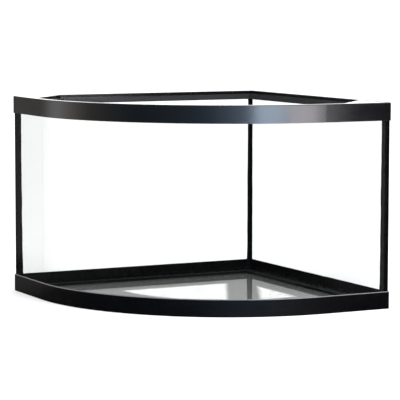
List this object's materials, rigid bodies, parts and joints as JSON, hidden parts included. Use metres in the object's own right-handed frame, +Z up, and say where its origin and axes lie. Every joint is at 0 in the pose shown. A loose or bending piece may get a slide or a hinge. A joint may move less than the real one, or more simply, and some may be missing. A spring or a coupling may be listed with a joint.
{
  "type": "corner aquarium tank",
  "caption": "Open quarter-round corner aquarium with flat rear panes, a bent glass front, black silicone seams and moulded black frames round the top and the base.",
  "frame": {"origin": "centre of the tank's box, on the surface that it stands on", "axes": "+Z up, +Y towards the rear corner that goes into the room's corner, -Y towards the middle of the bent front, +X to the right of someone facing the front"},
  "size_m": [0.8594, 0.6746, 0.438],
  "materials": {
    "frame_plastic": "satin black injection moulding",
    "clear_glass": "polished clear float glass with a faint green edge",
    "black_silicone": "cured aquarium silicone, tooled, slightly glossy"
  },
  "bodies": {
    "root": {"top_frame": "frame_plastic", "bottom_frame": "frame_plastic", "front_bent_glass": "clear_glass", "left_rear_glass": "clear_glass", "right_rear_glass": "clear_glass", "bottom_glass": "clear_glass", "rear_corner_joint": "black_silicone", "left_corner_joint": "black_silicone", "right_corner_joint": "black_silicone", "left_floor_joint": "black_silicone", "right_floor_joint": "black_silicone", "front_floor_joint": "black_silicone", "rear_corner_bead": "black_silicone", "left_corner_bead": "black_silicone", "right_corner_bead": "black_silicone", "left_floor_bead": "black_silicone", "right_floor_bead": "black_silicone", "front_floor_bead": "black_silicone", "top_frame_bond": "black_silicone", "bottom_frame_bond": "black_silicone"}
  },
  "joints": []
}
